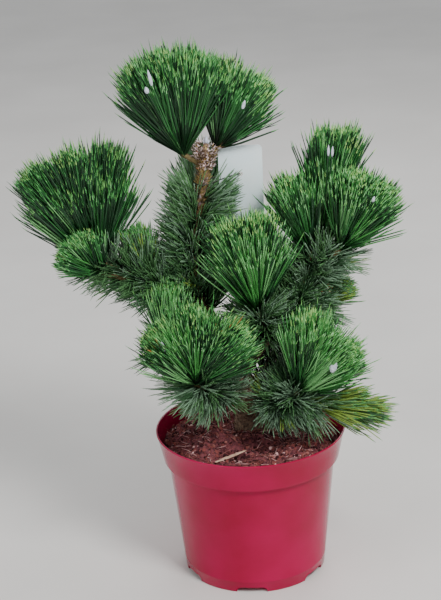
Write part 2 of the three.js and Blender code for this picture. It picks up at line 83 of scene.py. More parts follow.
def plain_finish(name, colour, roughness, specular=0.4):
    """A finish of one colour, with every number on the shader's own socket."""
    finish = bpy.data.materials.new(name)
    finish.use_nodes = True
    shader = finish.node_tree.nodes["Principled BSDF"]
    shader.inputs["Base Color"].default_value = linear(*colour)
    shader.inputs["Roughness"].default_value = roughness
    shader.inputs["Specular IOR Level"].default_value = specular
    return finish


def mottled_finish(name, dark, light, scale, roughness, bump, bump_scale, specular=0.4):
    """Two colours mixed by noise on Object coordinates, with a range of roughness from a
    second noise and a bump from a third, finer one. scale and bump_scale are per metre."""
    finish = plain_finish(name, dark, roughness[0], specular)
    nodes = finish.node_tree.nodes
    links = finish.node_tree.links
    shader = nodes["Principled BSDF"]
    place = nodes.new("ShaderNodeTexCoord")

    def noise(size, depth):
        grain = nodes.new("ShaderNodeTexNoise")
        grain.inputs["Scale"].default_value = size
        grain.inputs["Detail"].default_value = depth
        links.new(place.outputs["Object"], grain.inputs["Vector"])
        return grain.outputs["Fac"]

    ramp = nodes.new("ShaderNodeValToRGB")
    ramp.color_ramp.elements[0].position = 0.36
    ramp.color_ramp.elements[1].position = 0.66
    ramp.color_ramp.elements[0].color = linear(*dark)
    ramp.color_ramp.elements[1].color = linear(*light)
    links.new(noise(scale, 6.0), ramp.inputs["Fac"])
    links.new(ramp.outputs["Color"], shader.inputs["Base Color"])
    spread = nodes.new("ShaderNodeMapRange")
    spread.inputs["To Min"].default_value = roughness[0]
    spread.inputs["To Max"].default_value = roughness[1]
    links.new(noise(scale * 2.3, 3.0), spread.inputs["Value"])
    links.new(spread.outputs["Result"], shader.inputs["Roughness"])
    height = nodes.new("ShaderNodeBump")
    height.inputs["Strength"].default_value = bump
    height.inputs["Distance"].default_value = 0.001
    links.new(noise(bump_scale, 4.0), height.inputs["Height"])
    links.new(height.outputs["Normal"], shader.inputs["Normal"])
    return finish


half_floor = FLOOR_SIZE / 2
floor_points = np.array([(-half_floor, -half_floor, 0), (half_floor, -half_floor, 0),
                         (half_floor, half_floor, 0), (-half_floor, half_floor, 0)], float)
floor_finish = mottled_finish("pale_floor", (214, 211, 206), (222, 219, 214), 3, (0.6, 0.75), 0.05, 90)
floor = fill_mesh("floor", floor_points, [np.array([[0, 1, 2, 3]])], [floor_finish])

camera = bpy.data.objects.new("camera", bpy.data.cameras.new("camera"))
camera.data.sensor_width = SENSOR_WIDTH
camera.data.lens = CAMERA_LENS
camera.data.clip_end = 50
axes = np.array([CAMERA_RIGHT, CAMERA_UP, np.negative(CAMERA_FORWARD)]).T
camera.matrix_world = Matrix.Translation(np.array(CAMERA_AT) * MM) @ Matrix(axes.tolist()).to_4x4()
bpy.context.scene.collection.objects.link(camera)
bpy.context.scene.camera = camera

world = bpy.data.worlds.new("soft_room")
world.use_nodes = True
world.node_tree.nodes["Background"].inputs["Color"].default_value = (0.93, 0.96, 1.0, 1)
world.node_tree.nodes["Background"].inputs["Strength"].default_value = 0.62
bpy.context.scene.world = world
LAMPS = [("key", (900, -1500, 2200), 700, 62), ("fill", (-1900, -1500, 1300), 1600, 12),
         ("back", (500, 1900, 1900), 1400, 22)]
for lamp_name, lamp_at, lamp_size, lamp_power in LAMPS:
    lamp = bpy.data.objects.new(lamp_name, bpy.data.lights.new(lamp_name, "AREA"))
    lamp.data.size = lamp_size * MM
    lamp.data.energy = lamp_power
    towards = np.array(lamp_at, float) - LIT_POINT
    back = towards / np.linalg.norm(towards)
    side = np.cross((0, 0, 1), back)
    side /= np.linalg.norm(side)
    turned_axes = Matrix(np.array([side, np.cross(back, side), back]).T.tolist()).to_4x4()
    lamp.matrix_world = Matrix.Translation(np.array(lamp_at) * MM) @ turned_axes
    bpy.context.scene.collection.objects.link(lamp)

# Pot: a 7.5 litre nursery pot, blown in one piece of glossy red plastic, with a deep band
# under the rolled rim, a faint mould line near the foot and six arched drain notches.
RIM_RADIUS = 130
POT_HEIGHT = 206
BAND_LIP = 165
BAND_FOOT_RADIUS = 121.3
BODY_TOP_RADIUS = 114.5
FOOT_RADIUS = 97.4
MOULD_LINE = 16
POT_FLOOR = 3
POT_SIDES = 192
NOTCH_COUNT = 6
NOTCH_FIRST_TURN = -4.7
NOTCH_HALF_WIDTH = 21
NOTCH_HEIGHT = 8
NOTCH_CORNER = 8
NOTCH_INSET = 9
pot_underside = [(40, 0), (92, 0), (FOOT_RADIUS - 1.2, 0.1), (FOOT_RADIUS - 0.3, 0.5),
                 (FOOT_RADIUS, 1.2)]
pot_body = [(98.9, MOULD_LINE - 0.5), (99.25, MOULD_LINE), (99.35, MOULD_LINE + 1.2),
            (99.2, MOULD_LINE + 1.8), (105.6, 78), (BODY_TOP_RADIUS, BAND_LIP - 2.5)]
pot_band = [(BODY_TOP_RADIUS + 0.4, BAND_LIP - 0.9), (BODY_TOP_RADIUS + 1.3, BAND_LIP - 0.1),
            (BAND_FOOT_RADIUS - 1.7, BAND_LIP), (BAND_FOOT_RADIUS - 0.7, BAND_LIP + 0.2),
            (BAND_FOOT_RADIUS - 0.3, BAND_LIP + 1.2), (BAND_FOOT_RADIUS, BAND_LIP + 3), (125.2, 186),
            (RIM_RADIUS - 1.3, POT_HEIGHT - 4.2)]
pot_rim = [(RIM_RADIUS - 0.5, POT_HEIGHT - 2.6), (RIM_RADIUS, POT_HEIGHT - 1.6),
           (RIM_RADIUS, POT_HEIGHT - 0.8), (RIM_RADIUS - 0.3, POT_HEIGHT - 0.2),
           (RIM_RADIUS - 0.8, POT_HEIGHT), (RIM_RADIUS - 1.6, POT_HEIGHT),
           (RIM_RADIUS - 2.1, POT_HEIGHT - 0.3), (RIM_RADIUS - 2.5, POT_HEIGHT - 1.4)]
pot_inside = [(123.2, 188), (118.5, BAND_LIP + 6), (117.0, BAND_LIP + 3), (112.6, BAND_LIP - 2),
              (104, 80), (95.5, POT_FLOOR + 0.4), (94.6, POT_FLOOR), (40, POT_FLOOR)]
pot_profile = pot_underside + pot_body + pot_band + pot_rim + pot_inside


def skins(name, rings, starts, ends, finishes, slots=None):
    """Closed surfaces over grids of points, one for each n: rings[n, k, j] is joined round its
    ring to rings[n, k, j + 1] and along to rings[n, k + 1, j], and a fan at its start and one at
    its end close it. slots gives the finish of each."""
    count, steps, around = rings.shape[:3]
    ring = np.arange(steps * around).reshape(steps, around)
    beside = np.roll(ring, -1, axis=1)
    quads = np.stack([ring[:-1], beside[:-1], beside[1:], ring[1:]], axis=-1).reshape(-1, 4)
    middle = np.full(around, ring.size)
    fans = np.vstack([np.stack([beside[0], ring[0], middle], axis=-1),
                      np.stack([ring[-1], beside[-1], middle + 1], axis=-1)])
    points = np.concatenate([rings.reshape(count, -1, 3), np.reshape(starts, (count, 1, 3)),
                             np.reshape(ends, (count, 1, 3))], axis=1)
    offset = (ring.size + 2) * np.arange(count)[:, None, None]
    faces = [(quads + offset).reshape(-1, 4), (fans + offset).reshape(-1, 3)]
    if slots is not None:
        slots = np.concatenate([np.repeat(slots, len(quads)), np.repeat(slots, len(fans))])
    return fill_mesh(name, points.reshape(-1, 3), faces, finishes, slots)


def skin(name, rings, start, end, finishes):
    """One closed surface over a grid of points, as in skins."""
    return skins(name, rings[None], start, end, finishes)


def turned(profile, sides):
    """A profile of (radius, height) carried round Z: (r cos a, r sin a, z)."""
    radius, height = np.array(profile, float).T[:, :, None]
    angle = np.linspace(0, 2 * np.pi, sides, endpoint=False)[None]
    return np.stack([radius * np.cos(angle), radius * np.sin(angle), height + 0 * angle], axis=-1)


def arch(turn):
    """A notch cutter: an arch whose two upper corners are quarter ellipses, carried outwards
    through the wall and turned about the pot's axis."""
    step = np.linspace(0, np.pi / 2, 9)
    right = np.stack([NOTCH_HALF_WIDTH - NOTCH_CORNER + NOTCH_CORNER * np.cos(step),
                      1 + (NOTCH_HEIGHT - 1) * np.sin(step)], axis=1)
    outline = np.vstack([(NOTCH_HALF_WIDTH, -1), right, right[::-1] * (-1, 1), (-NOTCH_HALF_WIDTH, -1)])
    depth = np.array([FOOT_RADIUS - NOTCH_INSET, FOOT_RADIUS + NOTCH_INSET - 1])[:, None]
    spread = 0 * depth
    rings = np.stack([outline[:, 0] + spread, 0 * outline[:, 0] - depth, outline[:, 1] + spread], axis=-1)
    cos, sin = np.cos(np.radians(turn)), np.sin(np.radians(turn))
    rings = rings @ np.array([[cos, sin, 0], [-sin, cos, 0], [0, 0, 1]])
    return skin("notch", rings, rings[0].mean(axis=0), rings[1].mean(axis=0), [])


red_plastic = mottled_finish("red_plastic", (150, 0, 50), (172, 0, 70), 9, (0.08, 0.18), 0.10, 160, 0.22)
pot = skin("pot_shell", turned(pot_profile, POT_SIDES), (0, 0, 0), (0, 0, POT_FLOOR), [red_plastic])
cutters = [arch(NOTCH_FIRST_TURN + 360 * i / NOTCH_COUNT) for i in range(NOTCH_COUNT)]
for cutter in cutters:
    cut = pot.modifiers.new(cutter.name, "BOOLEAN")
    cut.operation = "DIFFERENCE"
    cut.solver = "EXACT"
    cut.object = cutter
cut_mesh = bpy.data.meshes.new_from_object(pot.evaluated_get(bpy.context.evaluated_depsgraph_get()))
pot.modifiers.clear()
pot.data = cut_mesh
pot.data.set_sharp_from_angle(angle=np.radians(40))
for cutter in cutters:
    bpy.data.objects.remove(cutter)
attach(pot, "root")
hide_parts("pot")

# Soil: reddish-brown peat with bark chips and fibres, tipped in loose up to 20 below the rim,
# with a mound at the left, a hollow in front of the trunk and a pale splinter of wood.
SOIL_TOP = 186
SOIL_BUMP = 5
TRUNK_FOOT = (-2, 36)
SOIL_SEAT_RADIUS = 30
SOIL_WALL = [(70, POT_FLOOR + 0.4), (93.5, POT_FLOOR + 0.4), (111.2, BAND_LIP - 2), (117.2, BAND_LIP + 7)]
MOUND = (17, -64, 8, 1700, 3600)
HOLLOW = (17, -36, -46, 380, 620)
SOIL_RINGS = 74
SOIL_SIDES = 240


def grain(points, cell, seed):
    """Value noise from 0 to 1: each corner of a lattice of cell millimetres has a fixed random
    number, and a point blends its eight corners by 3 t^2 - 2 t^3 along each axis."""
    at = np.asarray(points) / cell + 1000.0
    low = np.floor(at).astype(np.int64)
    part = at - low
    blend = part * part * (3 - 2 * part)
    total = 0
    for dx in (0, 1):
        for dy in (0, 1):
            for dz in (0, 1):
                mix = (low[..., 0] + dx) * 73856093 ^ (low[..., 1] + dy) * 19349663
                mix = mix ^ (low[..., 2] + dz) * 83492791
                mix = (mix ^ seed * 2654435761) & 0xffffffff
                mix = (mix * 1103515245 + 12345) & 0x7fffffff
                value = ((mix >> 8) & 0xffff) / 65535.0
                share = np.abs(1 - dx - blend[..., 0]) * np.abs(1 - dy - blend[..., 1])
                share = share * np.abs(1 - dz - blend[..., 2])
                total = total + share * value
    return total


def soil_height(x, y):
    """The solid's wave, a mound at the left and a hollow in front, faded out where the trunk
    stands, and four sizes of noise. The mound and the hollow are each
    height exp(-(x - middle)^2 / spread - (y - middle)^2 / spread)."""
    wave = np.sin(x / 17 + 1.3) * np.cos(y / 21 - 0.6) + 0.5 * np.sin((x + y) / 9)
    mound, hollow = (high * np.exp(-(x - at_x) ** 2 / wide_x - (y - at_y) ** 2 / wide_y)
                     for high, at_x, at_y, wide_x, wide_y in (MOUND, HOLLOW))
    flat = np.stack([x, y, 0 * x], axis=-1)
    rough = 7 * grain(flat, 27, 7) + 4.2 * grain(flat, 9, 3) + 2.8 * grain(flat, 4, 4)
    rough = rough + 2.2 * grain(flat, 2, 5) - 8.1
    from_trunk = np.hypot(x - TRUNK_FOOT[0], y - TRUNK_FOOT[1])
    fade = np.clip((from_trunk - 16) / (SOIL_SEAT_RADIUS - 8), 0, 1)
    edge = np.clip((np.hypot(x, y) - 96) / 22, 0, 1)
    return SOIL_TOP + fade * (SOIL_BUMP * wave + mound - hollow) * (1 - 0.5 * edge) + rough - 5 * edge


wall_radius, wall_level = np.array(SOIL_WALL).T
radius = np.concatenate([wall_radius, np.linspace(119.6, 1.5, SOIL_RINGS)])[:, None]
angle = np.linspace(0, 2 * np.pi, SOIL_SIDES, endpoint=False)[None]
soil_x, soil_y = radius * np.cos(angle), radius * np.sin(angle)
soil_z = soil_height(soil_x, soil_y)
soil_z[:len(SOIL_WALL)] = wall_level[:, None]
peat = mottled_finish("peat", (72, 33, 40), (136, 72, 76), 190, (0.85, 1.0), 0.9, 900)
soil_rings = np.stack([soil_x, soil_y, soil_z], axis=-1)
soil_end = (0, 0, float(soil_height(np.zeros(1), np.zeros(1))[0]))
soil = skin("soil_bed", soil_rings, (0, 0, POT_FLOOR + 0.4), soil_end, [peat])
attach(soil, "root")
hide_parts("soil")

# A chip begins as an icosahedron of about 1 mm half size.
CHIP_FACES = np.array([
    (0, 11, 5), (0, 5, 1), (0, 1, 7), (0, 7, 10), (0, 10, 11), (1, 5, 9), (5, 11, 4), (11, 10, 2),
    (10, 7, 6), (7, 1, 8), (3, 9, 4), (3, 4, 2), (3, 2, 6), (3, 6, 8), (3, 8, 9), (4, 9, 5),
    (2, 4, 11), (6, 2, 10), (8, 6, 7), (9, 8, 1)])
GOLD = (1 + 5 ** 0.5) / 2
CHIP_POINTS = np.array([
    (-1, GOLD, 0), (1, GOLD, 0), (-1, -GOLD, 0), (1, -GOLD, 0), (0, -1, GOLD), (0, 1, GOLD),
    (0, -1, -GOLD), (0, 1, -GOLD), (GOLD, 0, -1), (GOLD, 0, 1), (-GOLD, 0, -1), (-GOLD, 0, 1)]) / 1.9
rng = np.random.default_rng(41)


def chips(name, places, sizes, tones, finishes, seed):
    """Crumbs of one 12-cornered form: each corner moved by up to a fifth, then stretched to
    its own three sizes, turned at random and put at its place."""
    run = np.random.default_rng(seed)
    count = len(places)
    forms = (CHIP_POINTS + run.uniform(-0.2, 0.2, (count, 12, 3))) * sizes[:, None]
    frames = np.linalg.qr(run.normal(size=(count, 3, 3)))[0]
    frames[:, :, 0] *= np.sign(np.linalg.det(frames))[:, None]
    points = np.einsum("nij,nkj->nki", frames, forms) + places[:, None]
    faces = CHIP_FACES[None] + 12 * np.arange(count)[:, None, None]
    slots = np.repeat(tones, len(CHIP_FACES))
    return fill_mesh(name, points.reshape(-1, 3), [faces.reshape(-1, 3)], finishes, slots, smooth=False)


# The dark peat tone is the peat's own darkest crumbs, and also painted shade on the chips that lie low.
PEAT_DARK_AND_SHADE, PEAT_RED, BARK_CHIP, PALE_CHIP = range(4)
SOIL_TONES = [
    plain_finish("peat_dark", (58, 28, 30), 0.95, 0.2), plain_finish("peat_red", (132, 70, 66), 0.9, 0.2),
    plain_finish("bark_chip", (158, 98, 90), 0.85, 0.3), plain_finish("pale_chip", (222, 176, 172), 0.8, 0.3),
]
CHIPS = 3800
spot = 117 * np.sqrt(rng.uniform(0, 1, CHIPS))
bearing = rng.uniform(0, 2 * np.pi, CHIPS)
chip_places = np.stack([spot * np.cos(bearing), spot * np.sin(bearing), 0 * spot], axis=1)
chip_places[:, 2] = soil_height(chip_places[:, 0], chip_places[:, 1]) + 0.4
chip_sizes = rng.uniform(0.6, 1.0, (CHIPS, 3)) * (0.9 + 3.6 * rng.uniform(0, 1, CHIPS) ** 5)[:, None]
chip_sizes[:, 2] *= 0.6
chip_tones = rng.choice(4, CHIPS, p=[0.36, 0.38, 0.22, 0.04])
# Most chips that lie more than 3 below the soil's top take the dark peat tone: painted shade in the hollows.
chip_tones[(chip_places[:, 2] < SOIL_TOP - 3) & (rng.uniform(0, 1, CHIPS) < 0.8)] = PEAT_DARK_AND_SHADE
crumbs = chips("soil_crumbs", chip_places, chip_sizes, chip_tones, SOIL_TONES, 42)
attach(crumbs, "root")


def unit(vectors):
    """Each vector divided by its own length."""
    return vectors / np.linalg.norm(vectors, axis=-1, keepdims=True)


def blades(name, roots, headings, bends, lengths, widths, bases, tones, tips, finishes):
    """Needles, one three-sided spike each: the centre line is root + length (t h + t^2 b / 2)
    for a heading h and a bend b, the half width falls from the root to a point at t = 1, and
    the root is closed. The first part takes its base finish, the middle its tone and the
    point its tip."""
    count = len(roots)
    side = unit(np.cross(headings, bends + (0.013, 0.007, 0.031)))
    above = np.cross(side, headings)
    knots = np.array([0, 0.38, 0.92])
    share = np.array([0.72, 1.0, 0.66])
    line = roots[:, None] + lengths[:, None, None] * (
        knots[None, :, None] * headings[:, None] + 0.5 * (knots ** 2)[None, :, None] * bends[:, None])
    corner = np.arange(3) * 2 * np.pi / 3
    around = np.cos(corner)[None, :, None] * side[:, None] + np.sin(corner)[None, :, None] * above[:, None]
    half = 0.5 * widths[:, None] * share
    rings = line[:, :, None] + half[:, :, None, None] * around[:, None]
    point = roots + lengths[:, None] * (headings + 0.5 * bends)
    points = np.concatenate([rings.reshape(count, 9, 3), point[:, None]], axis=1)
    quads = np.array([(k + j, k + (j + 1) % 3, k + 3 + (j + 1) % 3, k + 3 + j)
                      for k in (0, 3) for j in range(3)])
    fans = np.array([(2, 1, 0), (6, 7, 9), (7, 8, 9), (8, 6, 9)])
    offset = 10 * np.arange(count)[:, None, None]
    slots = np.concatenate([
        np.stack([bases] * 3 + [tones] * 3, axis=1).ravel(),
        np.stack([bases, tips, tips, tips], axis=1).ravel()])
    return fill_mesh(name, points.reshape(-1, 3), [(quads[None] + offset).reshape(-1, 4),
                     (fans[None] + offset).reshape(-1, 3)], finishes, slots)


FIBRES = 900
spot = 114 * np.sqrt(rng.uniform(0, 1, FIBRES))
bearing = rng.uniform(0, 2 * np.pi, FIBRES)
fibre_roots = np.stack([spot * np.cos(bearing), spot * np.sin(bearing), 0 * spot], axis=1)
fibre_roots[:, 2] = soil_height(fibre_roots[:, 0], fibre_roots[:, 1]) + 1.0
lay = rng.uniform(0, 2 * np.pi, FIBRES)
fibre_headings = unit(np.stack([np.cos(lay), np.sin(lay), rng.uniform(-0.05, 0.28, FIBRES)], axis=1))
fibre_bends = rng.normal(0, 0.35, (FIBRES, 3)) - (0, 0, 0.25)
fibre_lengths = rng.uniform(6, 20, FIBRES)
fibre_ends = fibre_roots + fibre_lengths[:, None] * fibre_headings
inside = np.hypot(fibre_ends[:, 0], fibre_ends[:, 1]) < 118
fibre_tones = rng.choice([PEAT_RED, BARK_CHIP, PALE_CHIP], FIBRES, p=[0.4, 0.38, 0.22])
fibres = blades("soil_fibres", fibre_roots[inside], fibre_headings[inside], fibre_bends[inside],
                fibre_lengths[inside], rng.uniform(0.6, 1.3, FIBRES)[inside], fibre_tones[inside],
                fibre_tones[inside], fibre_tones[inside], SOIL_TONES)
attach(fibres, "root")

SPLINTER_FROM = (-50, -74, 0)
SPLINTER_TO = (-8, -46, 0)
splinter_run = np.linspace(0, 1, 26)[:, None]
splinter_line = np.array([SPLINTER_FROM]) * (1 - splinter_run) + np.array([SPLINTER_TO]) * splinter_run
splinter_line[:, 2] = SOIL_TOP + 2.2 + 2.0 * splinter_run[:, 0]
splinter_turn = np.linspace(0, 2 * np.pi, 10, endpoint=False)
splinter_half = 0.4 + 2.6 * np.sin(np.pi * np.clip(splinter_run * 0.86 + 0.1, 0, 1)) ** 0.7
splinter_side = np.array([-0.555, 0.832, 0])
splinter_rings = (splinter_line[:, None] + (splinter_half * np.cos(splinter_turn))[..., None] * splinter_side
                  + (0.45 * splinter_half * np.sin(splinter_turn))[..., None] * np.array([0, 0, 1]))
splinter_rings += 0.7 * (grain(splinter_rings * (0.3, 0.3, 1), 1.6, 8) - 0.5)[..., None]
pale_wood = mottled_finish("pale_wood", (176, 138, 116), (206, 172, 148), 120, (0.7, 0.85), 0.5, 700)
splinter = skin("soil_splinter", splinter_rings[:, ::-1], splinter_line[0], splinter_line[-1], [pale_wood])
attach(splinter, "root")

# Trunk: one leaning stem with a root flare, up to the fork under the top tufts. Its bark is
# grey-brown, rough with the cushions that old needles leave in crossing spirals.
TRUNK_LINE = [(-2, 36, 176), (-3, 33, 205), (-4, 20, 250), (-16, 11, 300), (-45, 8, 352),
              (-64, 6, 412), (-64, 6, 470), (-54, 7, 530), (-46, 9, 584), (-43, 9, 608)]
TRUNK_RADII = [21, 16, 13, 11.5, 10.5, 9.5, 8.5, 8, 7.5, 5]
LIMB_HINT = (0.05, 1, 0.1)
bark = mottled_finish("bark", (88, 68, 54), (156, 130, 106), 240, (0.8, 0.98), 1.0, 1100)


def smooth_line(points, shares, fine=60):
    """The centripetal Catmull-Rom line through points at shares of its length, with its unit
    tangents: each span is a cubic from p1 to p2, its end slopes worked out from its neighbours
    with knots spaced by the square root of the distance."""
    points = np.array(points, float)
    padded = np.vstack([2 * points[0] - points[1], points, 2 * points[-1] - points[-2]])
    gaps = np.sqrt(np.linalg.norm(np.diff(padded, axis=0), axis=1))[:, None]
    t = np.linspace(0, 1, fine, endpoint=False)[None, :, None]
    a, b, c, d = (padded[i:len(padded) - 3 + i] for i in range(4))
    before, span, after = gaps[:-2], gaps[1:-1], gaps[2:]
    slope_b = ((b - a) / before - (c - a) / (before + span) + (c - b) / span) * span
    slope_c = ((c - b) / span - (d - b) / (span + after) + (d - c) / after) * span
    b, c, slope_b, slope_c = b[:, None], c[:, None], slope_b[:, None], slope_c[:, None]
    line = b + slope_b * t + (3 * (c - b) - 2 * slope_b - slope_c) * t ** 2 + (
        2 * (b - c) + slope_b + slope_c) * t ** 3
    line = np.vstack([line.reshape(-1, 3), points[-1]])
    run = np.concatenate([[0], np.cumsum(np.linalg.norm(np.diff(line, axis=0), axis=1))])
    travelled = np.asarray(shares) * run[-1]
    place, ahead, behind = (
        np.stack([np.interp(travelled + step, run, line[:, i]) for i in range(3)], axis=-1)
        for step in (0, 0.5, -0.5))
    return place, unit(ahead - behind), run[-1]


def spokes(along, hint, turn):
    """Unit vectors across each axis at the angles turn: cos(a) u + sin(a) (axis x u), where u
    stands across both the axis and the hint."""
    across = unit(np.cross(hint, along))
    above = np.cross(along, across)
    turn = turn[:, None]
    return np.cos(turn) * across[:, None] + np.sin(turn) * above[:, None]


def bark_skin(name, points, radii, sides, step, relief, finishes, rise=0.0):
    """Bark carried along a limb: at share s and angle a the radius is the limb's own, plus
    relief times the cushions cos(8a + ks) cos(5a - ks) and two sizes of noise. rise lifts the
    first ring to that height."""
    length = smooth_line(points, [0, 1])[2]
    shares = np.linspace(0, 1, int(length / step))
    place, along, _ = smooth_line(points, shares)
    turn = np.linspace(0, 2 * np.pi, sides, endpoint=False)
    out = spokes(along, LIMB_HINT, turn)
    radius = np.interp(shares, np.linspace(0, 1, len(radii)), radii)[:, None]
    reach = shares[:, None] * length / np.maximum(radius, 5)
    cushions = np.cos(8 * turn + 2.1 * reach) * np.cos(5 * turn - 3.3 * reach)
    surface = place[:, None] + radius[..., None] * out
    lumps = grain(surface, 5.5, 11) + 0.7 * grain(surface, 2.1, 12) - 0.85
    radius = radius + relief * (0.55 * cushions + 1.5 * lumps) - 0.2 * relief
    close = np.sqrt(np.clip(1 - ((shares - 0.975) / 0.025).clip(0, 1) ** 2, 0.04, 1))[:, None]
    rings = place[:, None] + (radius * close)[..., None] * out
    if rise:
        keep = rings[:, :, 2].min(axis=1) > rise - 6
        rings = rings[keep]
        place = place[keep]
        rings[:, :, 2] = np.maximum(rings[:, :, 2], rise)
    start = rings[0].mean(axis=0)
    return skin(name, rings, start, place[-1] + 0.4 * along[-1], finishes)


trunk = bark_skin("trunk_bark", TRUNK_LINE, TRUNK_RADII, 64, 1.1, 1.0, [bark], rise=SOIL_TOP - 1.5)
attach(trunk, "root")
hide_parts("trunk")

# Boughs: ten limbs that leave the trunk or a larger bough and end where they enter the
# foliage, in the same rough bark, each grown out of the limb that bears it.
BOUGHS = {
    "bough_left": ([(-62, 6, 372), (-84, 5, 396), (-110, 4, 414)], [7.5, 6, 5]),
    "bough_left_low": ([(-30, 10, 318), (-66, -4, 322), (-95, -16, 334)], [7, 5.5, 4.5]),
    "bough_front_left": ([(-6, 16, 244), (-34, -16, 262), (-58, -46, 284)], [8, 6.5, 5.5]),
    "bough_right": ([(-10, 14, 276), (22, 4, 326), (56, 4, 364), (86, 8, 416)], [9, 8, 7, 5.5]),
    "bough_front_right": ([(-3, 24, 226), (28, -6, 244), (54, -32, 258)], [8, 6.5, 5.5]),
    "bough_back_left": ([(-6, 20, 258), (-42, 48, 280), (-70, 72, 300)], [7, 5.5, 4.5]),
    "bough_back_right": ([(-4, 22, 240), (34, 52, 282), (64, 74, 318)], [7.5, 6, 5]),
    "bough_back_high": ([(-65, 6, 438), (-56, 36, 452), (-46, 58, 474)], [6, 5, 4.5]),
    "bough_centre": ([(18, 5, 322), (24, -8, 346), (24, -18, 362)], [6.5, 5.5, 5]),
    "bough_right_side": ([(56, 4, 364), (68, 7, 372), (82, 10, 374)], [5, 4.5, 4]),
}
for bough_name, (line, radii) in BOUGHS.items():
    bough = bark_skin(bough_name + "_bark", line, radii, 36, 1.1, 0.8, [bark])
    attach(bough, "root")
    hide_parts(bough_name)

# Bark scales: the dry brown bracts that each old needle stood on, all up the leader and thin
# along the boughs, pressed to the bark with their points turned out.
GOLDEN_TURN = np.radians(137.5)


def turn_about(vectors, axis, angle):
    """Vectors turned about a unit axis: v cos + (axis x v) sin + axis (axis . v)(1 - cos)."""
    angle = np.asarray(angle)[..., None]
    dot = (vectors * axis).sum(axis=-1, keepdims=True)
    turned = vectors * np.cos(angle) + np.cross(axis, vectors) * np.sin(angle)
    return turned + axis * dot * (1 - np.cos(angle))


def scales(name, roots, headings, faces_out, lengths, widths, tones, finishes):
    """Dry scales: a flat kite each, with corners at its root, its point, both sides and both
    faces at two fifths of its length, and the point bent outwards."""
    count = len(roots)
    side = unit(np.cross(headings, faces_out))
    out = np.cross(side, headings)
    reach = roots + 0.4 * lengths[:, None] * headings
    half = 0.5 * widths[:, None]
    points = np.stack([
        roots, reach + half * side, reach + 0.35 * half * out, reach - half * side,
        reach - 0.35 * half * out, roots + lengths[:, None] * (headings + 0.22 * out)], axis=1)
    faces = np.array([(0, 1, 2), (0, 2, 3), (0, 3, 4), (0, 4, 1), (5, 2, 1), (5, 3, 2), (5, 4, 3), (5, 1, 4)])
    faces = faces[None, :, ::-1] + 6 * np.arange(count)[:, None, None]
    return fill_mesh(name, points.reshape(-1, 3), [faces.reshape(-1, 3)], finishes,
                     np.repeat(tones, 8), smooth=False)


BROWN, GOLDEN, GREY, ORANGE, PALE = range(5)
SCALE_TONES = [
    plain_finish("scale_brown", (96, 68, 48), 0.8, 0.3),
    plain_finish("scale_golden", (182, 156, 98), 0.7, 0.4),
    plain_finish("scale_grey", (128, 112, 98), 0.85, 0.3),
    plain_finish("scale_orange", (168, 104, 60), 0.75, 0.3),
    plain_finish("scale_pale", (236, 212, 212), 0.7, 0.3),
]
limb_scales = {"trunk": (TRUNK_LINE, TRUNK_RADII, 1500, 0.04, 0.95)}
limb_scales.update({key: (line, radii, 90, 0.15, 1.0) for key, (line, radii) in BOUGHS.items()})
scale_rows = []
for line, radii, count, low, high in limb_scales.values():
    share = low + (high - low) * (np.arange(count) + rng.uniform(0, 1, count)) / count
    place, along, _ = smooth_line(line, share)
    across = unit(np.cross(LIMB_HINT, along))
    out = turn_about(across, along, GOLDEN_TURN * np.arange(count))
    thick = np.interp(share, np.linspace(0, 1, len(radii)), radii)[:, None]
    golden = rng.uniform(0, 1, count) < np.clip((place[:, 2] - 330) / 120, 0.1, 0.75)
    upper_tone = rng.choice([GOLDEN, ORANGE, PALE], count, p=[0.84, 0.03, 0.13])
    tone = np.where(golden, upper_tone, rng.choice([BROWN, GREY], count))
    scale_rows.append((place + (thick - 0.5) * out, unit(along + 0.45 * out), out, tone))
scale_roots, scale_headings, scale_out, scale_tones = (np.concatenate(column) for column in zip(*scale_rows))
scale_lengths = rng.uniform(3.2, 6.5, len(scale_roots)) * np.where(scale_roots[:, 2] > 400, 1.5, 1)
bark_scales = scales("bark_scales", scale_roots, scale_headings, scale_out, scale_lengths,
                     0.55 * scale_lengths, scale_tones, SCALE_TONES)
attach(bark_scales, "root")

# Tag and tie: a bare white plastic plate, cut with round top corners, that hangs beside the
# leader from a dark plastic tie through its hole.
white_plastic = mottled_finish("white_plastic", (234, 250, 255), (242, 253, 255), 25, (0.3, 0.42), 0.06, 260)
tie_plastic = mottled_finish("tie_plastic", (40, 44, 34), (54, 58, 46), 60, (0.45, 0.6), 0.1, 400)
for node_name, node_finish in (("tag", white_plastic), ("tag_tie", tie_plastic)):
    node = bpy.data.objects[node_name]
    node.data.materials.clear()
    node.data.materials.append(node_finish)
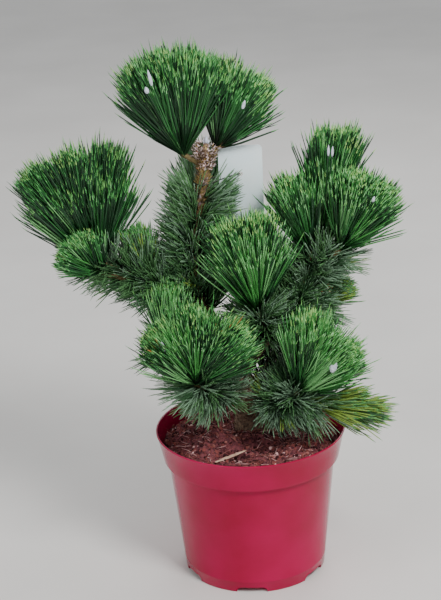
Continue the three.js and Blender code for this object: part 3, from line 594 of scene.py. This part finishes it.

# Foliage: this year's needles stand in whisk-like tufts round each new shoot, bright green
# with pale points, and last year's, dark and drooping, round the stem under them. The pale
# points and the palest tones are partly painted highlight, and the darker lower parts of the
# needles partly painted shade. As in the solids, sprays wind round a shoot by the golden turn,
# wide at its root, narrower at its tip.

# A row is the node, the foot of its stem, its fork, the height of its dome, the longest needle,
# how much of last year's needles its stem bears, and the tips of its shoots.
MASSES = [
    ("foliage_top_left", (-48, 8, 578), (-73, 2, 596), 141, 116, 0,
     [(-118, 4, 678), (-90, -10, 686), (-52, 6, 682), (-86, 36, 674)]),
    ("foliage_top_right", (-44, 10, 579), (-30, 16, 598), 120, 92, 0, [(12, 6, 652), (-22, 26, 664)]),
    ("foliage_left", (-108, 4, 413), (-194, 0, 455), 164, 110, 9,
     [(-250, -6, 532), (-212, -14, 556), (-172, 22, 546)]),
    ("foliage_left_inner", (-108, 5, 413), (-128, 10, 430), 74, 62, 7, [(-136, 6, 466)]),
    ("foliage_left_front", (-106, -2, 410), (-188, -22, 447), 68, 82, 0,
     [(-224, -34, 468), (-200, -32, 486)]),
    ("foliage_left_low", (-92, -15, 333), (-106, -22, 340), 94, 84, 5, [(-104, -30, 388)]),
    ("foliage_front_left", (-56, -44, 282), (-72, -58, 298), 122, 96, 8,
     [(-116, -88, 358), (-72, -76, 374), (-18, -78, 352)]),
    ("foliage_centre", (24, -16, 358), (15, -22, 382), 148, 108, 8, [(-12, -46, 472), (22, -40, 476)]),
    ("foliage_right_top", (84, 8, 412), (106, 20, 458), 162, 98, 6, [(112, 20, 570), (134, 32, 552)]),
    ("foliage_right_inner", (83, 7, 412), (88, 0, 456), 116, 92, 6, [(66, -12, 528)]),
    ("foliage_right_outer", (86, 6, 412), (128, -2, 458), 120, 98, 8, [(176, -24, 522), (142, -22, 530)]),
    ("foliage_right_side", (80, 10, 374), (96, 11, 378), 58, 54, 5, [(118, 8, 390)]),
    ("foliage_front_right", (52, -30, 257), (67, -42, 273), 126, 102, 8, [(120, -80, 326), (74, -52, 344)]),
    ("foliage_low_right", (53, -30, 256), (90, -34, 250), 104, 72, 8, [(132, -46, 246)]),
    ("foliage_back_left", (-68, 70, 298), (-80, 84, 312), 128, 92, 6, [(-98, 98, 376)]),
    ("foliage_back_right", (62, 72, 316), (72, 84, 330), 132, 96, 6, [(92, 102, 396)]),
    ("foliage_back_high", (-47, 57, 472), (-42, 68, 486), 106, 80, 5, [(-46, 86, 538)]),
]
# WIDEST and NARROWEST are a spray's angles to its shoot, in degrees, at its root and its tip.
# UPRIGHT leans it to the mass's middle, DEPTH flattens the mass from front to back, and an arch
# is how far needles bend up along the shoot, more in the SWEPT masses.
OLD_NEEDLE = 56
FRESH_NEEDLE = 80
SHOOT_HINT = (0.3, 1, 0.2)
WIDEST = 30
NARROWEST = 10
UPRIGHT = 0.3
DEPTH = np.array([1, 0.62, 1])
OLD_RISE = np.array([1, 1, 0.6])
DOME_WIDTH = 0.82
SPRAYS_PER_MM = 1.2
SPRAY_NEEDLES = 9
ARCH = 0.36
SWEPT_ARCH = 0.66
SWEPT = {"foliage_left", "foliage_left_front", "foliage_left_low", "foliage_front_left",
         "foliage_front_right"}
OLD_SPRAY_NEEDLES = 9
OLD_SPRAYS = 14
NEW_WIDTHS, OLD_WIDTHS, SLEEVE_WIDTHS = (1.9, 2.7), (1.4, 1.9), (1.6, 2.2)
DEAD_SPRAYS, DEAD_POINTS, PLAIN_NEEDLES = 0.012, 0.015, 0.2
(NEW_BASE_AND_SHADE, NEW_GREEN, NEW_FRESH, NEW_DEEP, NEW_LIGHT_AND_HIGHLIGHT, NEW_TIP_AND_HIGHLIGHT, TIP_GREEN, DEAD,
 OLD_GREEN, OLD_DARK, OLD_BLUE_AND_HIGHLIGHT, OLD_YELLOW) = range(12)
# The pale green and the pale blue tones are partly the needles' own colour and partly painted highlight
# streaks along them.
NEEDLE_TONES = [
    plain_finish("new_base", (18, 43, 24), 0.4), plain_finish("new_green", (48, 112, 54), 0.32, 0.6),
    plain_finish("new_fresh", (76, 156, 74), 0.32, 0.6), plain_finish("new_deep", (28, 67, 37), 0.35, 0.6),
    plain_finish("new_light", (130, 194, 122), 0.32, 0.6), plain_finish("new_tip", (158, 204, 112), 0.4),
    plain_finish("new_tip_green", (110, 172, 88), 0.4), plain_finish("old_dead", (170, 104, 50), 0.6),
    plain_finish("old_green", (92, 136, 86), 0.45), plain_finish("old_dark", (62, 98, 64), 0.5),
    plain_finish("old_blue", (128, 160, 130), 0.35, 0.6),
    plain_finish("old_yellow", (140, 170, 72), 0.4, 0.6),
]
OLD_TONES = [OLD_GREEN, OLD_DARK, OLD_BLUE_AND_HIGHLIGHT, OLD_YELLOW]
EVEN_SHARES = [0.26, 0.26, 0.22, 0.26]
# Each mass's shares of the green, fresh, deep and light tones; masses that stand in shade take more of the
# deep tone: painted shade.
TONE_AND_SHADE_SHARES = {
    "foliage_top_left": [0.31, 0.03, 0.56, 0.1], "foliage_top_right": [0.34, 0.05, 0.48, 0.13],
    "foliage_left": [0.3, 0.02, 0.66, 0.02], "foliage_left_front": [0.34, 0.14, 0.36, 0.16],
    "foliage_right_top": [0.34, 0.08, 0.46, 0.12], "foliage_right_inner": [0.34, 0.12, 0.36, 0.18],
    "foliage_right_outer": [0.34, 0.08, 0.44, 0.14], "foliage_front_left": [0.34, 0.1, 0.4, 0.16],
    "foliage_left_low": [0.14, 0.2, 0.14, 0.52], "foliage_front_right": [0.22, 0.34, 0.16, 0.28],
}
# Each tone's own darker tone, for the lower part of its needles: partly the needles' own darker foot, partly
# painted shade deep inside the tufts.
BASE_OF = np.array([NEW_BASE_AND_SHADE, NEW_DEEP, NEW_GREEN, NEW_BASE_AND_SHADE, NEW_LIGHT_AND_HIGHLIGHT, NEW_TIP_AND_HIGHLIGHT, TIP_GREEN, DEAD,
                    OLD_DARK, NEW_BASE_AND_SHADE, OLD_BLUE_AND_HIGHLIGHT, OLD_YELLOW])


def to_dome(start, heading, middle, reach):
    """How far from start along heading a needle meets its mass's dome: an ellipsoid round the
    fork, reach high along middle and DOME_WIDTH of that across; the root of a quadratic."""
    squeeze = np.eye(3) / DOME_WIDTH + (1 - 1 / DOME_WIDTH) * np.outer(middle, middle)
    start, heading = start @ squeeze, heading @ squeeze
    a = (heading ** 2).sum(axis=-1)
    b = (start * heading).sum(axis=-1)
    c = (start ** 2).sum(axis=-1) - reach ** 2
    return (np.sqrt(np.maximum(b * b - a * c, 0)) - b) / a


LIMBS = [(TRUNK_LINE, TRUNK_RADII), *BOUGHS.values()]
limb_shares = np.linspace(0.02, 0.97, 60)
limb_points = np.vstack([smooth_line(line, limb_shares)[0] for line, _ in LIMBS])
limb_reach = 0.6 + np.concatenate([
    np.interp(limb_shares, np.linspace(0, 1, len(radii)), radii) for _, radii in LIMBS])
POT_OUTSIDE = [(0, 98.5), (163, 116), (BAND_LIP, 122), (POT_HEIGHT, 131)]
POT_ROOM = 4.5
TAG_BOX = np.array([(-29, 20.8, 472), (31, 23.2, 600)])
AT_ONCE = 4000


def stays_clear(roots, headings, bends, lengths):
    """Which needles stay out of the limbs, the pot's wall, the soil and the tag, judged at six
    points along each."""
    clear = np.ones(len(roots), bool)
    last = roots
    for t in (0.25, 0.4, 0.55, 0.7, 0.85, 1.0):
        at = roots + lengths[:, None] * (t * headings + 0.5 * t * t * bends)
        for start in range(0, len(at), AT_ONCE):
            piece = at[start:start + AT_ONCE]
            apart = np.linalg.norm(piece[:, None] - limb_points[None], axis=-1) - limb_reach
            clear[start:start + AT_ONCE] &= apart.min(axis=1) > 0
        radius = np.hypot(at[:, 0], at[:, 1])
        outer = np.interp(at[:, 2], *np.array(POT_OUTSIDE).T)
        soil_top = soil_height(at[:, 0], at[:, 1]) + 1
        inside = (radius < outer - POT_ROOM) & (at[:, 2] > soil_top)
        clear &= (at[:, 2] > POT_HEIGHT + 1) | (radius > outer) | inside
        low, high = np.minimum(at, last), np.maximum(at, last)
        clear &= ~((high > TAG_BOX[0]) & (low < TAG_BOX[1])).all(axis=1)
        last = at
    return clear


def spray_needles(run, start, heading, lean, length, count, scatter):
    """Needles fanned out from each spray's start: each heading is the spray's plus a small
    random vector, and each bends by lean times the part of aim that lies across it."""
    sprays = len(start)
    needle_heading = unit(heading[:, None] + run.normal(0, scatter, (sprays, count, 3)))
    needle_root = start[:, None] + run.normal(0, 0.8, (sprays, count, 3))
    across = lean[:, None] - (lean[:, None] * needle_heading).sum(axis=-1, keepdims=True) * needle_heading
    bend = across * run.uniform(0.55, 1.25, (sprays, count, 1)) + run.normal(0, 0.13, (sprays, count, 3))
    size = length[:, None] * run.uniform(0.86, 1.03, (sprays, count))
    return [item.reshape(-1, *item.shape[2:]) for item in (needle_root, needle_heading, bend, size)]


def shoot_sprays(run, mass_name, fork, tip, middle, reach, needle):
    """One shoot's needles: sprays wind up from the fork to the tip, close together near the
    fork, and end on the dome. Each spray has one tone and one tone for its points."""
    shoot = np.linalg.norm(tip - fork)
    direction = (tip - fork) / shoot
    sprays = int(SPRAYS_PER_MM * shoot)
    up = (np.arange(sprays) + 0.5) / sprays
    across = unit(np.cross(SHOOT_HINT, direction))
    out = turn_about(across, direction, np.arange(sprays) * GOLDEN_TURN)
    angle = np.radians(WIDEST + (NARROWEST - WIDEST) * up + run.normal(0, 5, sprays))[:, None]
    heading = unit(direction * np.cos(angle) + DEPTH * out * np.sin(angle))
    heading = unit(heading + UPRIGHT * middle)
    start = fork + (tip - fork) * (up ** 2)[:, None] + 1.8 * out
    sweep = SWEPT_ARCH if mass_name in SWEPT else ARCH
    lean = np.broadcast_to(direction * (0.3 + sweep) + (0, 0, 0.12), start.shape)
    size = to_dome(start - fork, heading, middle, reach).clip(0.3 * needle, needle)
    leaving = unit(heading - 0.5 * sweep * direction)
    fresh = needle > FRESH_NEEDLE
    parts = spray_needles(run, start, leaving, lean, size, SPRAY_NEEDLES, 0.085 if fresh else 0.16)
    shares = TONE_AND_SHADE_SHARES.get(mass_name, EVEN_SHARES)
    tone = run.choice([NEW_GREEN, NEW_FRESH, NEW_DEEP, NEW_LIGHT_AND_HIGHLIGHT], sprays, p=shares)
    # Pale points come likelier on sprays near the shoot's tip, at the top of the tuft: partly the needles'
    # own paler points, partly painted light on the lit tops.
    pale = run.uniform(0, 1, sprays) < 0.5 * up ** 2
    point = np.where(pale, NEW_TIP_AND_HIGHLIGHT, run.choice([NEW_FRESH, NEW_LIGHT_AND_HIGHLIGHT, TIP_GREEN], sprays))
    point = np.where((tone == NEW_DEEP) & (point == NEW_LIGHT_AND_HIGHLIGHT), NEW_GREEN, point)
    point = np.where((tone == NEW_DEEP) & (point == NEW_TIP_AND_HIGHLIGHT) & (up < 0.7), NEW_FRESH, point)
    if not fresh:
        shares = [0.2, 0.1, 0.1, 0.6] if fork[0] > 80 else [0.4, 0.2, 0.3, 0.1]
        tone = run.choice(OLD_TONES, sprays, p=shares)
        point = run.choice([NEW_FRESH, TIP_GREEN], sprays)
    dead = (run.uniform(0, 1, sprays) < DEAD_SPRAYS) & (mass_name == "foliage_front_left")
    tone, point = np.where(dead, DEAD, tone), np.where(dead, DEAD, point)
    return (*parts, np.repeat(tone, SPRAY_NEEDLES), np.repeat(point, SPRAY_NEEDLES),
            run.uniform(*NEW_WIDTHS, len(parts[0])))


def stem_sprays(run, foot, fork, sprays):
    """Last year's needles round the stem under a tuft, from the bough that ends nearest its foot
    up to its fork. They begin nearer the trunk at the back, and the lower ones are bluer, with
    more of the pale blue tone, which is partly painted highlight."""
    order = np.arange(sprays)
    bough_line = min(BOUGHS.values(), key=lambda bough: np.linalg.norm(np.array(bough[0][-1]) - foot))[0]
    shares = [0.12, 0.45, 0.72] if foot[1] > 50 else [0.45, 0.72]
    stem_line = np.vstack([smooth_line(bough_line, shares)[0], foot, fork])
    place, along, _ = smooth_line(stem_line, 0.95 * (order + 0.5) / max(sprays, 1))
    across = unit(np.cross(SHOOT_HINT, along))
    out = turn_about(across, along, order * GOLDEN_TURN)
    heading = unit(OLD_RISE * out + along * run.uniform(0.2, 0.8, (sprays, 1)))
    lean = np.array([0, 0, 0.3]) * run.uniform(-0.4, 1.6, (sprays, 1))
    size = OLD_NEEDLE * run.uniform(0.85, 1.1, sprays)
    parts = spray_needles(run, place + 5 * out, heading, lean, size, OLD_SPRAY_NEEDLES, 0.12)
    shares = [0.3, 0.13, 0.56, 0.01] if fork[2] < 320 else [0.44, 0.27, 0.28, 0.01]
    tone = run.choice(OLD_TONES, sprays, p=shares)
    point = np.where(run.uniform(0, 1, sprays) < DEAD_POINTS, DEAD, tone)
    return (*parts, np.repeat(tone, OLD_SPRAY_NEEDLES), np.repeat(point, OLD_SPRAY_NEEDLES),
            run.uniform(*OLD_WIDTHS, len(parts[0])))


# The buds that show, by the tuft they stand in front of: x, y, z, length and half thickness.
SHOWN_BUDS = {
    "foliage_top_left": [(-107, -42, 700, 22, 2.0), (-113, -44, 691, 9, 2.6)],
    "foliage_top_right": [(6, -23, 660, 12, 2.0)],
    "foliage_right_top": [(114, -21, 592, 15, 1.5), (119, -21, 591, 14, 1.5)],
    "foliage_right_outer": [(168, -49, 536, 8, 2.0)],
    "foliage_front_right": [(107, -101, 324, 17, 4.2)],
    "foliage_front_left": [(-108, -107, 366, 14, 2.4)],
}
LEADER_BUD_SIZE = 44
SHOOT_HALF, STEM_HALF, THIN_HALF = (3.4, 2.0), (4.4, 3.4), (1.3, 0.9)
leader_tip, leader_end = smooth_line(TRUNK_LINE, [1.0, 1.0])[:2]
buds = [(leader_tip[0], leader_end[0], LEADER_BUD_SIZE)]
twig_rows, shown_rows = [], []
for index, (mass_name, foot, fork, reach, needle, old, tips) in enumerate(MASSES):
    run = np.random.default_rng(200 + index)
    foot, fork, tips = (np.array(place, float) for place in (foot, fork, tips))
    middle = unit(tips.mean(axis=0) - fork)
    rows = []
    for tip in tips:
        rows.append(shoot_sprays(run, mass_name, fork, tip, middle, reach, needle))
        direction = unit(tip - fork)
        buds.append((tip, direction, needle))
        twig_rows.append((fork, tip + 0.5 * direction, *SHOOT_HALF))
    for *tip, length, half in SHOWN_BUDS.get(mass_name, []):
        direction = unit((tip - fork) * (1, 0.2, 1) + (0, 0, 60))
        shown_rows.append((np.array(tip), direction, length, half))
        twig_rows.append((fork, tip + 2 * direction, *THIN_HALF))
    twig_rows.append((foot, fork + 2 * unit(fork - foot), *STEM_HALF))
    rows.append(stem_sprays(run, foot, fork, old * OLD_SPRAYS))
    columns = [np.concatenate(column) for column in zip(*rows)]
    clear = stays_clear(*columns[:4])
    roots, headings, bends, lengths, tones, points, widths = (column[clear] for column in columns)
    # Most needles take the darker tone on their lower part, partly painted shade inside the tuft; a fifth
    # keep one tone from root to point.
    bases = np.where(run.uniform(0, 1, len(tones)) < PLAIN_NEEDLES, tones, BASE_OF[tones])
    tuft = blades(mass_name + "_needles", roots, headings, bends, lengths, widths, bases, tones, points,
                  NEEDLE_TONES)
    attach(tuft, "root")
    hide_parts(mass_name)

# Sleeves: last year's needles, close and dark, stand up and out of the leader and of the right
# bough, thinner on the front of the leader, where its scaly stem shows.

# A row is the node, the line it stands on, the part of it from low to high, its sprays, and how
# far a spray may face the camera before most of its like are left out.
TO_CAMERA = np.array([0.12, -0.97, 0.2])
SLEEVES = [
    ("foliage_leader", TRUNK_LINE, 0.47, 0.85, 360, 0.92),
    ("foliage_right_sleeve", BOUGHS["bough_right"][0], 0.4, 0.88, 150, 2),
]
for index, (sleeve_name, line, low, high, sprays, thin_from) in enumerate(SLEEVES):
    run = np.random.default_rng(99 + index)
    order = np.arange(sprays)
    place, along, _ = smooth_line(line, low + (high - low) * (order + 0.5) / sprays)
    across = unit(np.cross((0, 1, 0), along))
    out = turn_about(across, along, order * GOLDEN_TURN)
    facing = out @ TO_CAMERA
    kept = (facing < thin_from) | (run.uniform(0, 1, sprays) < 0.3)
    place, along, out = place[kept], along[kept], out[kept]
    spray_heading = unit(out + along * run.uniform(0.45, 0.95, (len(out), 1)))
    size = OLD_NEEDLE * run.uniform(0.85, 1.05, len(out))
    parts = spray_needles(run, place + 8.5 * out, spray_heading, 0.2 * along, size, OLD_SPRAY_NEEDLES, 0.2)
    tone = np.repeat(run.choice(OLD_TONES, len(out), p=[0.42, 0.28, 0.26, 0.04]), OLD_SPRAY_NEEDLES)
    clear = stays_clear(*parts)
    roots, headings, bends, lengths = (part[clear] for part in parts)
    tone = tone[clear]
    # The lower part of each sleeve needle takes the darker tone, partly painted shade.
    sleeve = blades(sleeve_name + "_needles", roots, headings, bends, lengths,
                    run.uniform(*SLEEVE_WIDTHS, len(roots)), BASE_OF[tone], tone, tone, NEEDLE_TONES)
    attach(sleeve, "root")
    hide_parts(sleeve_name)

# Twigs: the green-brown shoots that carry the needles, grown on from the ends of the boughs,
# and thin green ones that end in the buds that show.
TWIG_SIDES, TWIG_STEPS = 8, 14
roots, ends, root_half, end_half = (np.array(column, float) for column in zip(*twig_rows))
turn = np.linspace(0, 2 * np.pi, TWIG_SIDES, endpoint=False)
step = np.linspace(0, 1, TWIG_STEPS)
half = root_half[:, None] + (end_half - root_half)[:, None] * step + 0.25 * np.cos(22 * step)[None]
line = roots[:, None] + (ends - roots)[:, None] * step[None, :, None]
rings = line[:, :, None] + half[:, :, None, None] * spokes(unit(ends - roots), SHOOT_HINT, turn)[:, None]
twig_bark = mottled_finish("twig_bark", (86, 74, 44), (120, 104, 66), 260, (0.7, 0.85), 0.6, 900)
twigs = skins("twigs", rings, roots, ends, [twig_bark, NEEDLE_TONES[NEW_DEEP]], root_half == THIN_HALF[0])
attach(twigs, "root")

# Buds: a pale resinous winter bud on the tip of each shoot, with two small ones beside it, and
# the ones that show on their thin twigs. Each is of overlapping scales that spiral to the point.
BUD_SIDES, BUD_STEPS = 12, 12
bud_rows = list(shown_rows)
for tip, direction, needle in buds:
    across = unit(np.cross(SHOOT_HINT, direction))
    size = 0.24 * needle
    bud_rows.append((tip - 0.5 * direction, direction, size, 0.2 * size))
    for side_turn in (0.6, 2.9):
        beside_way = turn_about(across, direction, side_turn)
        bud_rows.append((tip - direction + 2.4 * beside_way, unit(direction + 0.3 * beside_way),
                         0.6 * size, 0.13 * size))
roots, along, sizes, halves = (np.array(column) for column in zip(*bud_rows))
step = np.linspace(0, 1, BUD_STEPS)
turn = np.linspace(0, 2 * np.pi, BUD_SIDES, endpoint=False)
outline = (1.15 * np.sin(np.pi * (0.12 + 0.88 * step)) ** 0.75 * (1.12 - 0.3 * step))[:, None]
outline = outline * (1 + 0.1 * np.cos(4 * turn[None] + 20 * step[:, None]))
line = roots[:, None] + (sizes[:, None] * step)[..., None] * along[:, None]
reach = (halves[:, None, None] * outline)[..., None]
rings = line[:, :, None] + reach * spokes(along, SHOOT_HINT, turn)[:, None]
bud_ends = roots + sizes[:, None] * along * 1.02
bud_resin = mottled_finish("bud_resin", (190, 194, 208), (228, 232, 242), 300, (0.4, 0.6), 0.5, 900)
bud_piece = skins("buds", rings, roots, bud_ends, [bud_resin])
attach(bud_piece, "root")

# Catkin scars: the papery brown and pinkish remains of spring's pollen cones, packed round
# the top of the leader just under the tufts.
SCARS = 470
run = np.random.default_rng(77)
order = np.arange(SCARS)
height = (order + run.uniform(0, 1, SCARS)) / SCARS
share = 0.92 + 0.078 * height
place, along, _ = smooth_line(TRUNK_LINE, share)
across = unit(np.cross((0, 1, 0), along))
out = turn_about(across, along, order * GOLDEN_TURN)
scar_roots = place + out * (run.uniform(5, 9, SCARS) + 13 * height * run.uniform(0, 1, SCARS))[:, None]
scar_headings = unit(out + along * run.uniform(-0.2, 0.9, (SCARS, 1)) + run.normal(0, 0.25, (SCARS, 3)))
scars = scales("catkin_scars", scar_roots, scar_headings, along, run.uniform(4, 9, SCARS),
               run.uniform(1.6, 3.6, SCARS), run.choice(5, SCARS, p=[0.32, 0.1, 0.14, 0.04, 0.4]),
               SCALE_TONES)
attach(scars, "root")
